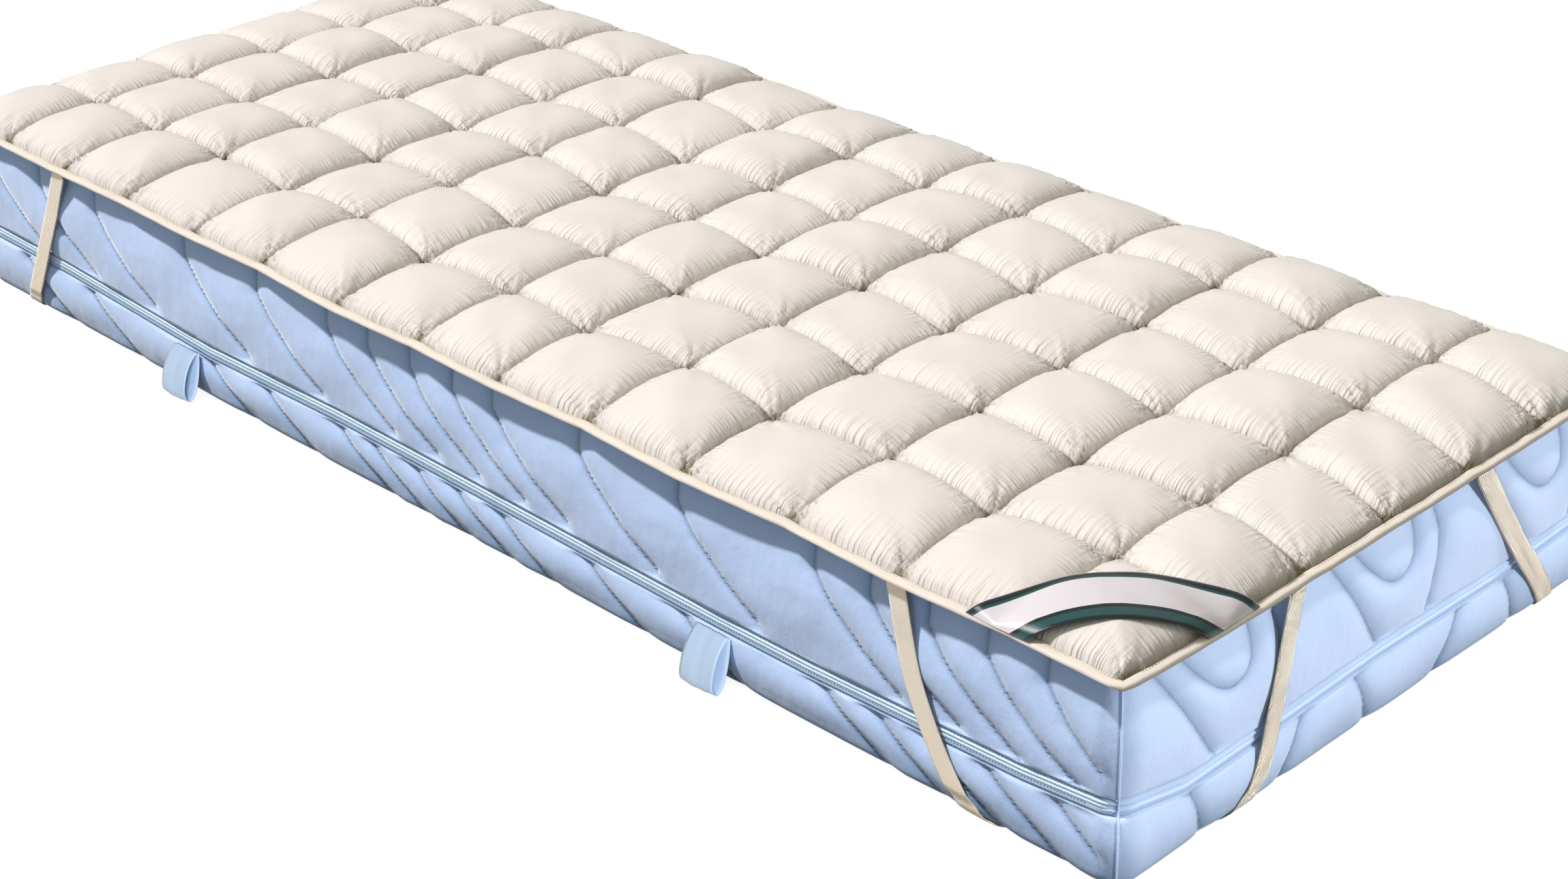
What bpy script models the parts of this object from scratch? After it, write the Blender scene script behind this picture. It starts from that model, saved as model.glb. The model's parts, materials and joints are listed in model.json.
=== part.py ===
"""A quilted mattress protector lying on its mattress, held by four elastic corner bands.

Metres, +Z up, the floor at z = 0. +Y runs along the bed and the near corner is at -X, -Y.
"""
import math

import bmesh
import bpy
import numpy as np

for old in list(bpy.data.objects):
    bpy.data.objects.remove(old, do_unlink=True)

# The pad: 6 by 14 sewn cells inside the binding.
COLS, ROWS = 6, 14
PAD_W, PAD_L = 0.800, 2.000
SEAM_Z = 0.247            # top of the pad at a seam
PUFF = 0.021              # crown of a full cell above its seams
SEAM_LIFT = 0.006         # a seam between two crossings rises this much
EDGE_DROP = 0.0055        # the edge hangs this much lower than the seams inside
EDGE_HALF = 0.0015        # half the thickness of the flat margin
MARGIN = 0.0095           # flat margin outside the last seam
BOW = 0.0022              # each cell pushes the edge out between two seams
UNDER_Z = 0.2385          # flat underside, just above the mattress
STEPS = (0.0, 0.1, 0.34, 0.66, 0.9)

# The mattress.
MAT_W, MAT_L = 0.794, 1.994
MAT_BOTTOM, MAT_TOP = 0.002, 0.238
CORNER_R = 0.030          # upright corners
EDGE_R = 0.018            # bottom and top edges
ZIP_HALF = 0.008          # half the height of the zip band

# The tapes, straps and handles.
TAPE_T = 0.0014           # binding tape, folded over the margin
BAND_NEAR, BAND_FAR = 0.115, 0.1885   # edges of the satin band from the corner it runs round
BAND_PULL = 0.040         # at its middle it runs this much nearer the corner than at its ends
BAND_T = 0.0010
STRAP_W, STRAP_T = 0.025, 0.0012
HANDLE_W, HANDLE_T = 0.048, 0.0020
GAP = 0.0003              # clear space between sewn pieces

# The rows of stitching wander, as measured on the photo: line by line from the near end,
# in mm, how far each line of seam crossings lies to +X and to +Y of its even place.
ROW_X = (-12, 13, -6, 9, -11, 9, -9, 1, -14, 13, 0, 11, 3, 6, 0)
ROW_Y = (0, -3, -6, -3, 0, 5, 5, -1, -4, 9, 2, 10, 3, -1, 0)
FAN = 0.9                 # mm: the lines fan out this much a cell, away from their sixth

# The middle of the zip band above the floor, at places along the long and the short side.
ZIP_LONG_Y = (-0.967, -0.88, -0.60, -0.47, -0.10, 0.18, 0.45, 0.77, 0.967)
ZIP_LONG_Z = (0.094, 0.086, 0.076, 0.075, 0.079, 0.081, 0.075, 0.088, 0.090)
ZIP_SHORT_X = (-0.367, -0.30, -0.14, 0.00, 0.21, 0.367)
ZIP_SHORT_Z = (0.094, 0.080, 0.083, 0.087, 0.083, 0.090)


def node(name, verts, faces, colour, roughness=0.9):
    """One named object with its own material, its faces pointing out."""
    mesh = bpy.data.meshes.new(name)
    mesh.from_pydata([tuple(map(float, v)) for v in verts], [], [tuple(map(int, f)) for f in faces])
    shell = bmesh.new()
    shell.from_mesh(mesh)
    bmesh.ops.recalc_face_normals(shell, faces=shell.faces)
    shell.to_mesh(mesh)
    shell.free()
    obj = bpy.data.objects.new(name, mesh)
    bpy.context.scene.collection.objects.link(obj)
    mat = bpy.data.materials.new(name)
    mat.use_nodes = True
    bsdf = mat.node_tree.nodes["Principled BSDF"]
    bsdf.inputs["Base Color"].default_value = (*colour, 1.0)
    bsdf.inputs["Roughness"].default_value = roughness
    mesh.materials.append(mat)
    return obj


def rings_to_faces(rings, size, closed=True):
    """Quads between rings of equal size that follow each other; each ring is a closed loop."""
    faces = []
    for r in range(rings if closed else rings - 1):
        lo, hi = r * size, ((r + 1) % rings) * size
        for k in range(size):
            nxt = (k + 1) % size
            faces.append((lo + k, lo + nxt, hi + nxt, hi + k))
    return faces


def crossing(i, j):
    """Where seam i across meets seam j along, in the plane."""
    x, y = PAD_W * (i / COLS - 0.5), PAD_L * (j / ROWS - 0.5)
    side, end = i in (0, COLS), j in (0, ROWS)
    x += ROW_X[j] / 1000 * (0.3 if side else 1.0)
    y += (ROW_Y[j] + (0.0 if end else FAN * (i - 3) * (6 - j))) / 1000
    if side and end:
        x, y = PAD_W * (i / COLS - 0.5) * 0.995, PAD_L * (j / ROWS - 0.5) * 0.996
    return x, y


CROSSINGS = np.array([[crossing(i, j) for j in range(ROWS + 1)] for i in range(COLS + 1)])


def scallop(t):
    """0 at a seam, 1 between two seams, straight between the steps."""
    return float(np.interp(t % 1.0, (0.0, 0.34, 0.66, 1.0), (0.0, 1.0, 1.0, 0.0)))


def fullness(i, j):
    """Crown of a cell: no two cells are filled alike."""
    return 1.0 + 0.13 * math.sin(2.1 * i + 1.7 * j) + 0.10 * math.sin(5.3 * i - 2.9 * j + 1.0)


def pad_top(u, v):
    """A point of the pad's top face. u counts cells across from 0 to 6, v along from 0 to 14."""
    i, j = min(int(u), COLS - 1), min(int(v), ROWS - 1)
    a, b = u - i, v - j
    c = CROSSINGS
    x, y = ((1 - a) * ((1 - b) * c[i, j] + b * c[i, j + 1])
            + a * ((1 - b) * c[i + 1, j] + b * c[i + 1, j + 1]))
    west, east = max(0.0, 1 - u) ** 2, max(0.0, u - COLS + 1) ** 2
    south, north = max(0.0, 1 - v) ** 2, max(0.0, v - ROWS + 1) ** 2
    x += BOW * scallop(v) * (east - west)
    y += BOW * scallop(u) * (north - south)
    near_edge = max(west, east, south, north)
    across, along = 1 - abs(2 * a - 1) ** 2.4, 1 - abs(2 * b - 1) ** 2.4
    crown = PUFF * fullness(i, j) * (max(across, 0.0) * max(along, 0.0)) ** 0.55
    floor = SEAM_LIFT * (1 - (1 - math.sin(math.pi * a)) * (1 - math.sin(math.pi * b)))
    z = SEAM_Z - 0.003 + floor * (1 - 0.75 * near_edge) + crown - EDGE_DROP * near_edge
    return np.array([x, y, z])


def outline(steps_of):
    """Stations round the pad's last seam, counter-clockwise from the near corner at -X, -Y.

    Each is (u, v, out): its place in cells and the direction that points out of the pad.
    """
    east = [(i + s, 0.0, (0, -1)) for i in range(COLS) for s in steps_of(i, COLS)]
    north = [(float(COLS), j + s, (1, 0)) for j in range(ROWS) for s in steps_of(j, ROWS)]
    west = [(COLS - u, float(ROWS), (0, 1)) for u, _, _ in east]
    south = [(0.0, ROWS - v, (-1, 0)) for _, v, _ in north]
    stations = []
    for side, before in ((east, (-1, 0)), (north, (0, -1)), (west, (1, 0)), (south, (0, 1))):
        for k, (u, v, out) in enumerate(side):
            direction = np.array(out, float)
            if k == 0:
                direction = (direction + np.array(before, float)) * 0.70
            stations.append((u, v, direction))
    return stations


def edge_point(station, out, up):
    """A point beside the last seam, `out` past it and `up` above the middle of the margin."""
    u, v, direction = station
    x, y, z = pad_top(u, v)
    return (x + out * direction[0], y + out * direction[1], z - EDGE_HALF + up)


def build_topper():
    us = [i + s for i in range(COLS) for s in STEPS] + [float(COLS)]
    vs = [j + s for j in range(ROWS) for s in STEPS] + [float(ROWS)]
    verts = [pad_top(u, v) for v in vs for u in us]
    wide = len(us)
    faces = [(r * wide + k, r * wide + k + 1, (r + 1) * wide + k + 1, (r + 1) * wide + k)
             for r in range(len(vs) - 1) for k in range(wide - 1)]
    place = {(round(u, 3), round(v, 3)): vs.index(v) * wide + us.index(u) for v in vs for u in us}
    stations = outline(lambda k, n: STEPS)
    first = [place[round(u, 3), round(v, 3)] for u, v, _ in stations]
    loops = [first]
    for out, up in ((MARGIN, EDGE_HALF), (MARGIN, -EDGE_HALF), (0.0, -EDGE_HALF)):
        loops.append(range(len(verts), len(verts) + len(stations)))
        verts += [edge_point(s, out, up) for s in stations]
    loops.append(range(len(verts), len(verts) + len(stations)))
    for s in stations:
        x, y, _ = edge_point(s, 0.0, 0.0)
        verts.append((np.clip(x, -PAD_W / 2 + 0.022, PAD_W / 2 - 0.022),
                      np.clip(y, -PAD_L / 2 + 0.022, PAD_L / 2 - 0.022), UNDER_Z))
    for inner, outer in zip(loops, loops[1:]):
        for k in range(len(stations)):
            nxt = (k + 1) % len(stations)
            faces.append((inner[k], outer[k], outer[nxt], inner[nxt]))
    faces.append(tuple(reversed(loops[-1])))
    return node("topper", verts, faces, (0.86, 0.82, 0.72))


def build_binding():
    def steps(k, n):
        if k == 0:
            return (0.0, 0.1, 0.34, 0.66)
        return (0.0, 0.34, 0.66, 0.9) if k == n - 1 else (0.0, 0.34, 0.66)

    inside, hem, rim = EDGE_HALF + GAP, 0.0012, MARGIN + 0.0019
    section = ((hem, inside), (MARGIN + GAP, inside), (MARGIN + GAP, -inside), (hem, -inside),
               (hem, -inside - TAPE_T), (rim, -inside - 0.6 * TAPE_T),
               (rim, inside + 0.6 * TAPE_T), (hem, inside + TAPE_T))
    stations = outline(steps)
    verts = [edge_point(s, out, up) for s in stations for out, up in section]
    return node("binding", verts, rings_to_faces(len(stations), len(section)), (0.82, 0.76, 0.64))


def band_height(x, y):
    """Lowest height at which the label band clears the pad and its binding around a point."""
    best = 0.0
    for dx, dy in ((0, 0), (0.010, 0), (-0.010, 0), (0, 0.010), (0, -0.010)):
        u = np.clip((x + dx) / PAD_W * COLS + COLS / 2, 0, COLS)
        v = np.clip((y + dy) / PAD_L * ROWS + ROWS / 2, 0, ROWS)
        best = max(best, pad_top(u, v)[2])
    at_binding = min(x + PAD_W / 2, y + PAD_L / 2) < 0.006
    return best + (0.0018 if at_binding else 0.0010)


def build_label_band():
    """A taut band that curves round the near corner, from one edge of the pad to the other."""
    turns, rows = 26, 4
    cx, cy = -PAD_W / 2 - 0.0105, -PAD_L / 2 - 0.0105
    place = np.zeros((turns + 1, rows + 1, 3))
    for k in range(turns + 1):
        turn = 0.5 * math.pi * k / turns
        pull = BAND_PULL * abs(math.sin(2 * turn)) ** 0.6
        for r in range(rows + 1):
            radius = BAND_NEAR + (BAND_FAR - BAND_NEAR) * r / rows - pull
            x, y = cx + radius * math.sin(turn), cy + radius * math.cos(turn)
            place[k, r] = x, y, band_height(x, y)
    for _ in range(400):   # pulled tight: it bridges the hollows under it
        high = place[:, :, 2]
        high[1:-1] = np.maximum(high[1:-1], 0.5 * (high[:-2] + high[2:]))
    verts = []
    for line in place:
        verts += [(x, y, z + BAND_T) for x, y, z in line] + [(x, y, z) for x, y, z in line[::-1]]
    size = 2 * (rows + 1)
    faces = rings_to_faces(turns + 1, size, closed=False)
    faces.append(tuple(range(size - 1, -1, -1)))
    faces.append(tuple(range(turns * size, (turns + 1) * size)))
    return node("label_band", verts, faces, (0.85, 0.86, 0.83), 0.5)


def mattress_stations():
    """Points round the mattress, counter-clockwise, with the way out and the zip's height."""
    half_w, half_l, r = MAT_W / 2, MAT_L / 2, CORNER_R
    places = []
    for n, start, end, out in (
            (6, (-half_w + r, -half_l), (half_w - r, -half_l), (0, -1)),
            (14, (half_w, -half_l + r), (half_w, half_l - r), (1, 0)),
            (6, (half_w - r, half_l), (-half_w + r, half_l), (0, 1)),
            (14, (-half_w, half_l - r), (-half_w, -half_l + r), (-1, 0))):
        start, end, out = np.array(start), np.array(end), np.array(out, float)
        for k in range(n + 1):
            places.append((start + (end - start) * k / n, out))
        turned = np.array([-out[1], out[0]])
        centre = end - out * r
        for k in (1, 2, 3):
            angle = math.pi / 8 * k
            way = out * math.cos(angle) + turned * math.sin(angle)
            places.append((centre + way * r, way))
    found = []
    for place, out in places:
        if abs(out[0]) > abs(out[1]):
            zip_z = np.interp(place[1], ZIP_LONG_Y, ZIP_LONG_Z)
        else:
            zip_z = np.interp(place[0], ZIP_SHORT_X, ZIP_SHORT_Z)
        found.append((place, out, float(zip_z)))
    return found


def side_profile(zip_z):
    """Outline of the mattress side from its underside up: (out, z), with the zip's groove."""
    low = [(-EDGE_R + EDGE_R * math.sin(t), MAT_BOTTOM + EDGE_R * (1 - math.cos(t)))
           for t in (0.0, 0.52, 1.05, 1.57)]
    high = [(-EDGE_R + EDGE_R * math.cos(t), MAT_TOP - EDGE_R * (1 - math.sin(t)))
            for t in (0.0, 0.52, 1.05, 1.57)]
    groove = [(0.0032, 0.5 * (MAT_BOTTOM + EDGE_R + zip_z - 0.012)), (0.0010, zip_z - 0.0115),
              (-0.0045, zip_z - 0.0095), (-0.0045, zip_z + 0.0095), (0.0010, zip_z + 0.0115)]
    span = MAT_TOP - EDGE_R - zip_z
    panel = [(0.0042, zip_z + 0.26 * span), (0.0052, zip_z + 0.52 * span), (0.0040, zip_z + 0.80 * span)]
    return low + groove + panel + high


def build_mattress():
    stations = mattress_stations()
    levels = len(side_profile(0.07))
    verts = []
    for place, out, zip_z in stations:
        verts += [(*(place + out * n), z) for n, z in side_profile(zip_z)]
    faces = []
    count = len(stations)
    for s in range(count):
        a, b = s * levels, ((s + 1) % count) * levels
        faces += [(a + k, b + k, b + k + 1, a + k + 1) for k in range(levels - 1)]
    faces.append(tuple(s * levels for s in reversed(range(count))))
    faces.append(tuple(s * levels + levels - 1 for s in range(count)))
    return node("mattress", verts, faces, (0.55, 0.66, 0.82))


def build_zip_band():
    stations = mattress_stations()
    verts = []
    for place, out, zip_z in stations:
        long_side = abs(out[0]) > 0.99
        lobe, dip = (0.0006, -0.0016) if long_side else (-0.0008, -0.0008)
        section = ((-0.0041, -ZIP_HALF), (-0.0018, -ZIP_HALF), (lobe, -0.0045), (dip, 0.0),
                   (lobe, 0.0045), (-0.0018, ZIP_HALF), (-0.0041, ZIP_HALF))
        verts += [(*(place + out * n), zip_z + z) for n, z in section]
    return node("zip_band", verts, rings_to_faces(len(stations), 7), (0.68, 0.80, 0.86))


def build_handle(name, side, y):
    """A fabric loop under the zip band, sewn on by its two ends."""
    zip_z = float(np.interp(y, ZIP_LONG_Y, ZIP_LONG_Z))
    path = np.array([(4.9, -9.5), (10, -13.5), (18.5, -23.5), (26, -38), (30.5, -54), (30, -64),
                     (24.5, -69.5), (17, -65), (10.5, -50), (5.4, -30), (2.45, -10.5)]) / 1000
    path[:, 1] += zip_z
    ahead = np.gradient(path, axis=0)
    ahead /= np.linalg.norm(ahead, axis=1)[:, None]
    across = np.stack([ahead[:, 1], -ahead[:, 0]], axis=1) * HANDLE_T / 2
    verts = []
    for (n, z), (dn, dz) in zip(path, across):
        for sign, end in ((1, -1), (1, 1), (-1, 1), (-1, -1)):
            verts.append((side * (MAT_W / 2 + n + sign * dn), y + end * HANDLE_W / 2, z + sign * dz))
    count = len(path)
    faces = rings_to_faces(count, 4, closed=False)
    faces += [(3, 2, 1, 0), tuple(range(4 * count - 4, 4 * count))]
    return node(name, verts, faces, (0.62, 0.72, 0.86))


def strap_profile():
    """Middle of a strap from the floor up: (in from the side plane, z, length so far)."""
    clear = 0.0008 + STRAP_T / 2
    radius = EDGE_R + clear
    line = [(EDGE_R - radius * math.sin(t), MAT_BOTTOM + EDGE_R - radius * math.cos(t))
            for t in np.linspace(0, math.pi / 2, 9)]
    line += [(-0.0055, 0.032), (-0.0068, 0.120), (-0.0072, 0.170), (-0.0090, 0.202), (-0.0100, 0.2330)]
    line = np.array(line)
    run = np.concatenate([[0], np.cumsum(np.linalg.norm(np.diff(line, axis=0), axis=1))])
    ahead = np.gradient(line, axis=0)
    ahead /= np.linalg.norm(ahead, axis=1)[:, None]
    return line, run, np.stack([-ahead[:, 1], ahead[:, 0]], axis=1)


def build_strap(name, sx, sy, long_side, short_side):
    """An elastic corner band.

    Each side gives the band's distance from the corner at the top, half way down and at the floor.
    """
    line, run, outward = strap_profile()
    top = run[-1]
    flat_w, flat_l = MAT_W / 2 - EDGE_R, MAT_L / 2 - EDGE_R
    # The middle line in the unfolded sides and underside: p across the bed, q along it.
    knots = np.array([(-flat_w - top, -MAT_L / 2 + long_side[0]),
                      (-flat_w - 0.55 * top, -MAT_L / 2 + long_side[1]),
                      (-flat_w - 0.05 * top, -MAT_L / 2 + long_side[2]),
                      (-MAT_W / 2 + short_side[2], -flat_l - 0.05 * top),
                      (-MAT_W / 2 + short_side[1], -flat_l - 0.55 * top),
                      (-MAT_W / 2 + short_side[0], -flat_l - top)])
    middle = []
    ends = np.vstack([2 * knots[0] - knots[1], knots, 2 * knots[-1] - knots[-2]])
    for a, b, c, d in zip(ends, ends[1:], ends[2:], ends[3:]):
        for t in np.linspace(0, 1, 40, endpoint=False):
            middle.append(0.5 * (2 * b + (c - a) * t + (2 * a - 5 * b + 4 * c - d) * t * t
                                 + (3 * b - a - 3 * c + d) * t ** 3))
    middle = np.array(middle + [knots[-1]])
    way = np.gradient(middle, axis=0)
    way /= np.linalg.norm(way, axis=1)[:, None]
    left = middle + np.stack([-way[:, 1], way[:, 0]], axis=1) * STRAP_W / 2
    right = middle - np.stack([-way[:, 1], way[:, 0]], axis=1) * STRAP_W / 2
    half = len(middle) // 2
    rows = []
    for k in range(len(run) - 1, -1, -1):
        p = -flat_w - run[k]
        rows.append([(0, k, np.interp(p, e[:, 0], e[:, 1])) for e in (left, right)])
    rows.append([(2, *left[half]), (2, *right[half])])
    for k in range(len(run)):
        q = -flat_l - run[k]
        rows.append([(1, k, np.interp(-q, -e[:, 1], e[:, 0])) for e in (left, right)])
    verts = []
    for first, second in rows:
        for (kind, k, along), face in ((first, 1), (second, 1), (second, -1), (first, -1)):
            if kind == 2:
                x, y, z = k, along, STRAP_T / 2 - face * STRAP_T / 2
            else:
                step, z = line[k] + outward[k] * face * STRAP_T / 2
                x, y = (-MAT_W / 2 + step, along) if kind == 0 else (along, -MAT_L / 2 + step)
            verts.append((-sx * x, -sy * y, z))
    faces = rings_to_faces(len(rows), 4, closed=False)
    faces += [(3, 2, 1, 0), tuple(range(4 * len(rows) - 4, 4 * len(rows)))]
    return node(name, verts, faces, (0.80, 0.74, 0.64))


build_topper()
build_binding()
build_label_band()
build_mattress()
build_zip_band()
build_handle("handle_near_left", -1, -0.465)
build_handle("handle_far_left", -1, 0.495)
build_handle("handle_near_right", 1, -0.480)
build_handle("handle_far_right", 1, 0.480)
build_strap("strap_near_left", -1, -1, (0.266, 0.244, 0.173), (0.237, 0.222, 0.180))
build_strap("strap_near_right", 1, -1, (0.262, 0.232, 0.160), (0.254, 0.176, 0.086))
build_strap("strap_far_left", -1, 1, (0.258, 0.192, 0.116), (0.250, 0.215, 0.150))
build_strap("strap_far_right", 1, 1, (0.260, 0.225, 0.150), (0.250, 0.215, 0.150))
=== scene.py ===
import json
import math

import bmesh
import bpy
import numpy as np
from mathutils import Matrix, Vector

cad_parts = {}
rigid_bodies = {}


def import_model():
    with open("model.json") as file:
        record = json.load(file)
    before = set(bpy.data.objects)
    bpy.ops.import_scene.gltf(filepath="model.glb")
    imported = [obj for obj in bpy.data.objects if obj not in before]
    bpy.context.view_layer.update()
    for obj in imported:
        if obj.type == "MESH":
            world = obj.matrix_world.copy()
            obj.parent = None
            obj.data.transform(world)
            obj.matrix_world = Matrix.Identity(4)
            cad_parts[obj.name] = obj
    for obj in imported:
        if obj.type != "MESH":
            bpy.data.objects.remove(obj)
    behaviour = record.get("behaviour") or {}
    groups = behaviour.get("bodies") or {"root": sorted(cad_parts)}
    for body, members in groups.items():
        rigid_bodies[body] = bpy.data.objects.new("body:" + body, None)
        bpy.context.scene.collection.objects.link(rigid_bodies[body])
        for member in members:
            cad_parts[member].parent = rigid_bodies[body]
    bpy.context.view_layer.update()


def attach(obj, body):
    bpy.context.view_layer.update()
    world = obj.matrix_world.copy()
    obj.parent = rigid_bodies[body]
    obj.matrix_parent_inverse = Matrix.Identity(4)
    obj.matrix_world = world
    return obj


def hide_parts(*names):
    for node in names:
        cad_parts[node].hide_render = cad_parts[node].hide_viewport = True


for leftOver in list(bpy.data.objects):
    bpy.data.objects.remove(leftOver, do_unlink=True)

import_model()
collection = bpy.context.scene.collection


def tint(red, green, blue):
    # screen colour 0-255 to linear
    return tuple(((c / 255 + 0.055) / 1.055) ** 2.4 if c > 10 else c / 255 / 12.92
                 for c in (red, green, blue)) + (1.0,)


# camera

camera = {
    "place": (-2.0056, -2.2836, 1.5771),
    "turn": 43.285,     # degrees from +Y towards +X
    "down": 28.091,
    "roll": 1.904,
    "lens": 64.11,
}


def placeCamera(facts):
    turn, down, roll = (math.radians(facts[k]) for k in ("turn", "down", "roll"))
    ahead = Vector((math.sin(turn) * math.cos(down), math.cos(turn) * math.cos(down), -math.sin(down)))
    right = ahead.cross(Vector((0, 0, 1))).normalized()
    below = ahead.cross(right)
    sideways = right * math.cos(roll) + below * math.sin(roll)
    under = below * math.cos(roll) - right * math.sin(roll)
    data = bpy.data.cameras.new("camera")
    data.lens = facts["lens"]
    data.sensor_width = 36
    data.sensor_fit = "HORIZONTAL"
    data.clip_end = 50
    obj = bpy.data.objects.new("camera", data)
    turned = Matrix((sideways, -under, -ahead)).transposed().to_4x4()
    obj.matrix_world = Matrix.Translation(facts["place"]) @ turned
    collection.objects.link(obj)
    bpy.context.scene.camera = obj


placeCamera(camera)
bpy.context.scene.view_settings.view_transform = "Standard"   # keeps the white of the backdrop white
print("camera placed")


# shader groups

def newGroup(name, inputs, outputs, kind="ShaderNodeTree"):
    tree = bpy.data.node_groups.new(name, kind)
    for label, form, value in inputs:
        socket = tree.interface.new_socket(label, in_out="INPUT", socket_type="NodeSocket" + form)
        if value is not None:
            socket.default_value = value
    for label, form in outputs:
        tree.interface.new_socket(label, in_out="OUTPUT", socket_type="NodeSocket" + form)
    return tree, tree.nodes.new("NodeGroupInput").outputs, tree.nodes.new("NodeGroupOutput")


def feed(tree, node, inputs):
    # each named input gets a link from another socket, or a value
    for key, value in inputs.items():
        if isinstance(value, bpy.types.NodeSocket):
            tree.links.new(value, node.inputs[key])
        else:
            node.inputs[key].default_value = value


def addNode(tree, kind, inputs=None, **values):
    made = tree.nodes.new(kind)
    for key, value in values.items():
        setattr(made, key, value)
    feed(tree, made, inputs or {})
    return made


def maths(tree, operation, *values, clamp=False):
    made = addNode(tree, "ShaderNodeMath", dict(enumerate(values)), operation=operation, use_clamp=clamp)
    return made.outputs[0]


def group(tree, made, inputs):
    return addNode(tree, "ShaderNodeGroup", inputs, node_tree=made).outputs[0]


def noise(tree, inputs):
    return addNode(tree, "ShaderNodeTexNoise", inputs).outputs["Fac"]


def separate(tree, vector):
    return addNode(tree, "ShaderNodeSeparateXYZ", {0: vector}).outputs


def mixed(tree, first, second, share):
    mix = addNode(tree, "ShaderNodeMix", {"A": first, "B": second, "Factor": share}, data_type="RGBA")
    return mix.outputs["Result"]


def weaveGroup():
    # over-and-under threads, as a height
    tree, given, out = newGroup(
        "weave", (("Vector", "Vector", None), ("Threads", "Float", 900.0), ("Slub", "Float", 0.4)),
        (("Height", "Float"),))
    place = separate(tree, given["Vector"])
    x, y, z = (maths(tree, "SINE", maths(tree, "MULTIPLY", place[k], given["Threads"])) for k in "XYZ")
    woven = maths(tree, "ADD", maths(tree, "MULTIPLY", x, y), maths(tree, "MULTIPLY", z, 0.6))
    uneven = noise(tree, {"Scale": 160, "Detail": 2, "Vector": given["Vector"]})
    slub = maths(tree, "MULTIPLY", uneven, given["Slub"])
    feed(tree, out, {"Height": maths(tree, "ADD", maths(tree, "MULTIPLY", woven, 0.25), slub)})
    return tree


def shadeGroup():
    # slow change of tone over a cloth, and painted shade: a mix towards Deep wherever its Mask is high
    tree, given, out = newGroup(
        "toneAndPaintedShade",
        (("Vector", "Vector", None), ("Base", "Color", (0.8, 0.8, 0.8, 1)),
         ("Deep", "Color", (0.4, 0.4, 0.4, 1)), ("Mask", "Float", 0.0),
         ("Patch", "Float", 0.06), ("Size", "Float", 9.0)),
        (("Color", "Color"),))
    patches = noise(tree, {"Detail": 3, "Scale": given["Size"], "Vector": given["Vector"]})
    swing = maths(tree, "MULTIPLY", maths(tree, "SUBTRACT", patches, 0.5), 2.0)
    swing = maths(tree, "MULTIPLY", swing, given["Patch"])
    # random swing of tone plus the Mask, which paints shade
    share = maths(tree, "ADD", swing, given["Mask"], clamp=True)
    feed(tree, out, {"Color": mixed(tree, given["Base"], given["Deep"], share)})
    return tree


def streakGroup():
    # small gathers that run away from a line of stitching
    tree, given, out = newGroup(
        "gathers",
        (("Vector", "Vector", None), ("Near side seam", "Float", 0.0), ("Near cross seam", "Float", 0.0)),
        (("Height", "Float"),))
    heights = []
    for label, scale in (("Near side seam", (9.0, 120.0, 1.0)), ("Near cross seam", (120.0, 9.0, 1.0))):
        stretch = addNode(tree, "ShaderNodeMapping", {"Scale": scale, "Vector": given["Vector"]})
        folds = noise(tree, {"Scale": 0.16, "Detail": 1.0, "Roughness": 0.5, "Vector": stretch.outputs[0]})
        sharp = maths(tree, "ABSOLUTE", maths(tree, "SUBTRACT", folds, 0.5))
        heights.append(maths(tree, "MULTIPLY", sharp, given[label]))
    feed(tree, out, {"Height": maths(tree, "ADD", *heights)})
    return tree


weave = weaveGroup()
toneAndPaintedShade = shadeGroup()
gathers = streakGroup()


def objectPlace(tree):
    return addNode(tree, "ShaderNodeTexCoord").outputs["Object"]


def uvPlace(tree):
    return addNode(tree, "ShaderNodeUVMap", uv_map="UVMap").outputs["UV"]


def attribute(tree, name):
    return addNode(tree, "ShaderNodeAttribute", attribute_name=name).outputs["Fac"]


def bumped(tree, height, distance, normal=None):
    bump = addNode(tree, "ShaderNodeBump", {"Height": height, "Distance": distance, "Strength": 1.0})
    if normal:
        feed(tree, bump, {"Normal": normal})
    return bump.outputs["Normal"]


def newMaterial(name):
    mat = bpy.data.materials.new(name)
    mat.use_nodes = True
    return mat, mat.node_tree, mat.node_tree.nodes["Principled BSDF"]


def clothMaterial(name, base, deep, facts, mask=None, extraHeight=None):
    # facts: phase of the threads per metre, height of the weave, roughness, sheen, change of tone
    mat, tree, bsdf = newMaterial(name)
    coords = objectPlace(tree)
    colour = group(tree, toneAndPaintedShade, {
        "Vector": coords, "Base": base(tree) if callable(base) else base,
        "Deep": deep(tree) if callable(deep) else deep, "Mask": mask(tree) if mask else 0.0,
        "Patch": facts.get("patch", 0.06), "Size": facts.get("patchSize", 9.0)})
    woven = group(tree, weave, {"Vector": coords, "Threads": facts["threads"], "Slub": 0.5})
    normal = bumped(tree, woven, facts["weaveHeight"])
    if extraHeight:
        normal = bumped(tree, *extraHeight(tree), normal)
    feed(tree, bsdf, {"Base Color": colour, "Roughness": facts["roughness"], "Normal": normal,
                      "Sheen Weight": facts.get("sheen", 0.2), "Sheen Roughness": 0.4,
                      "Specular IOR Level": 0.3})
    return mat


# mesh helpers

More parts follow.
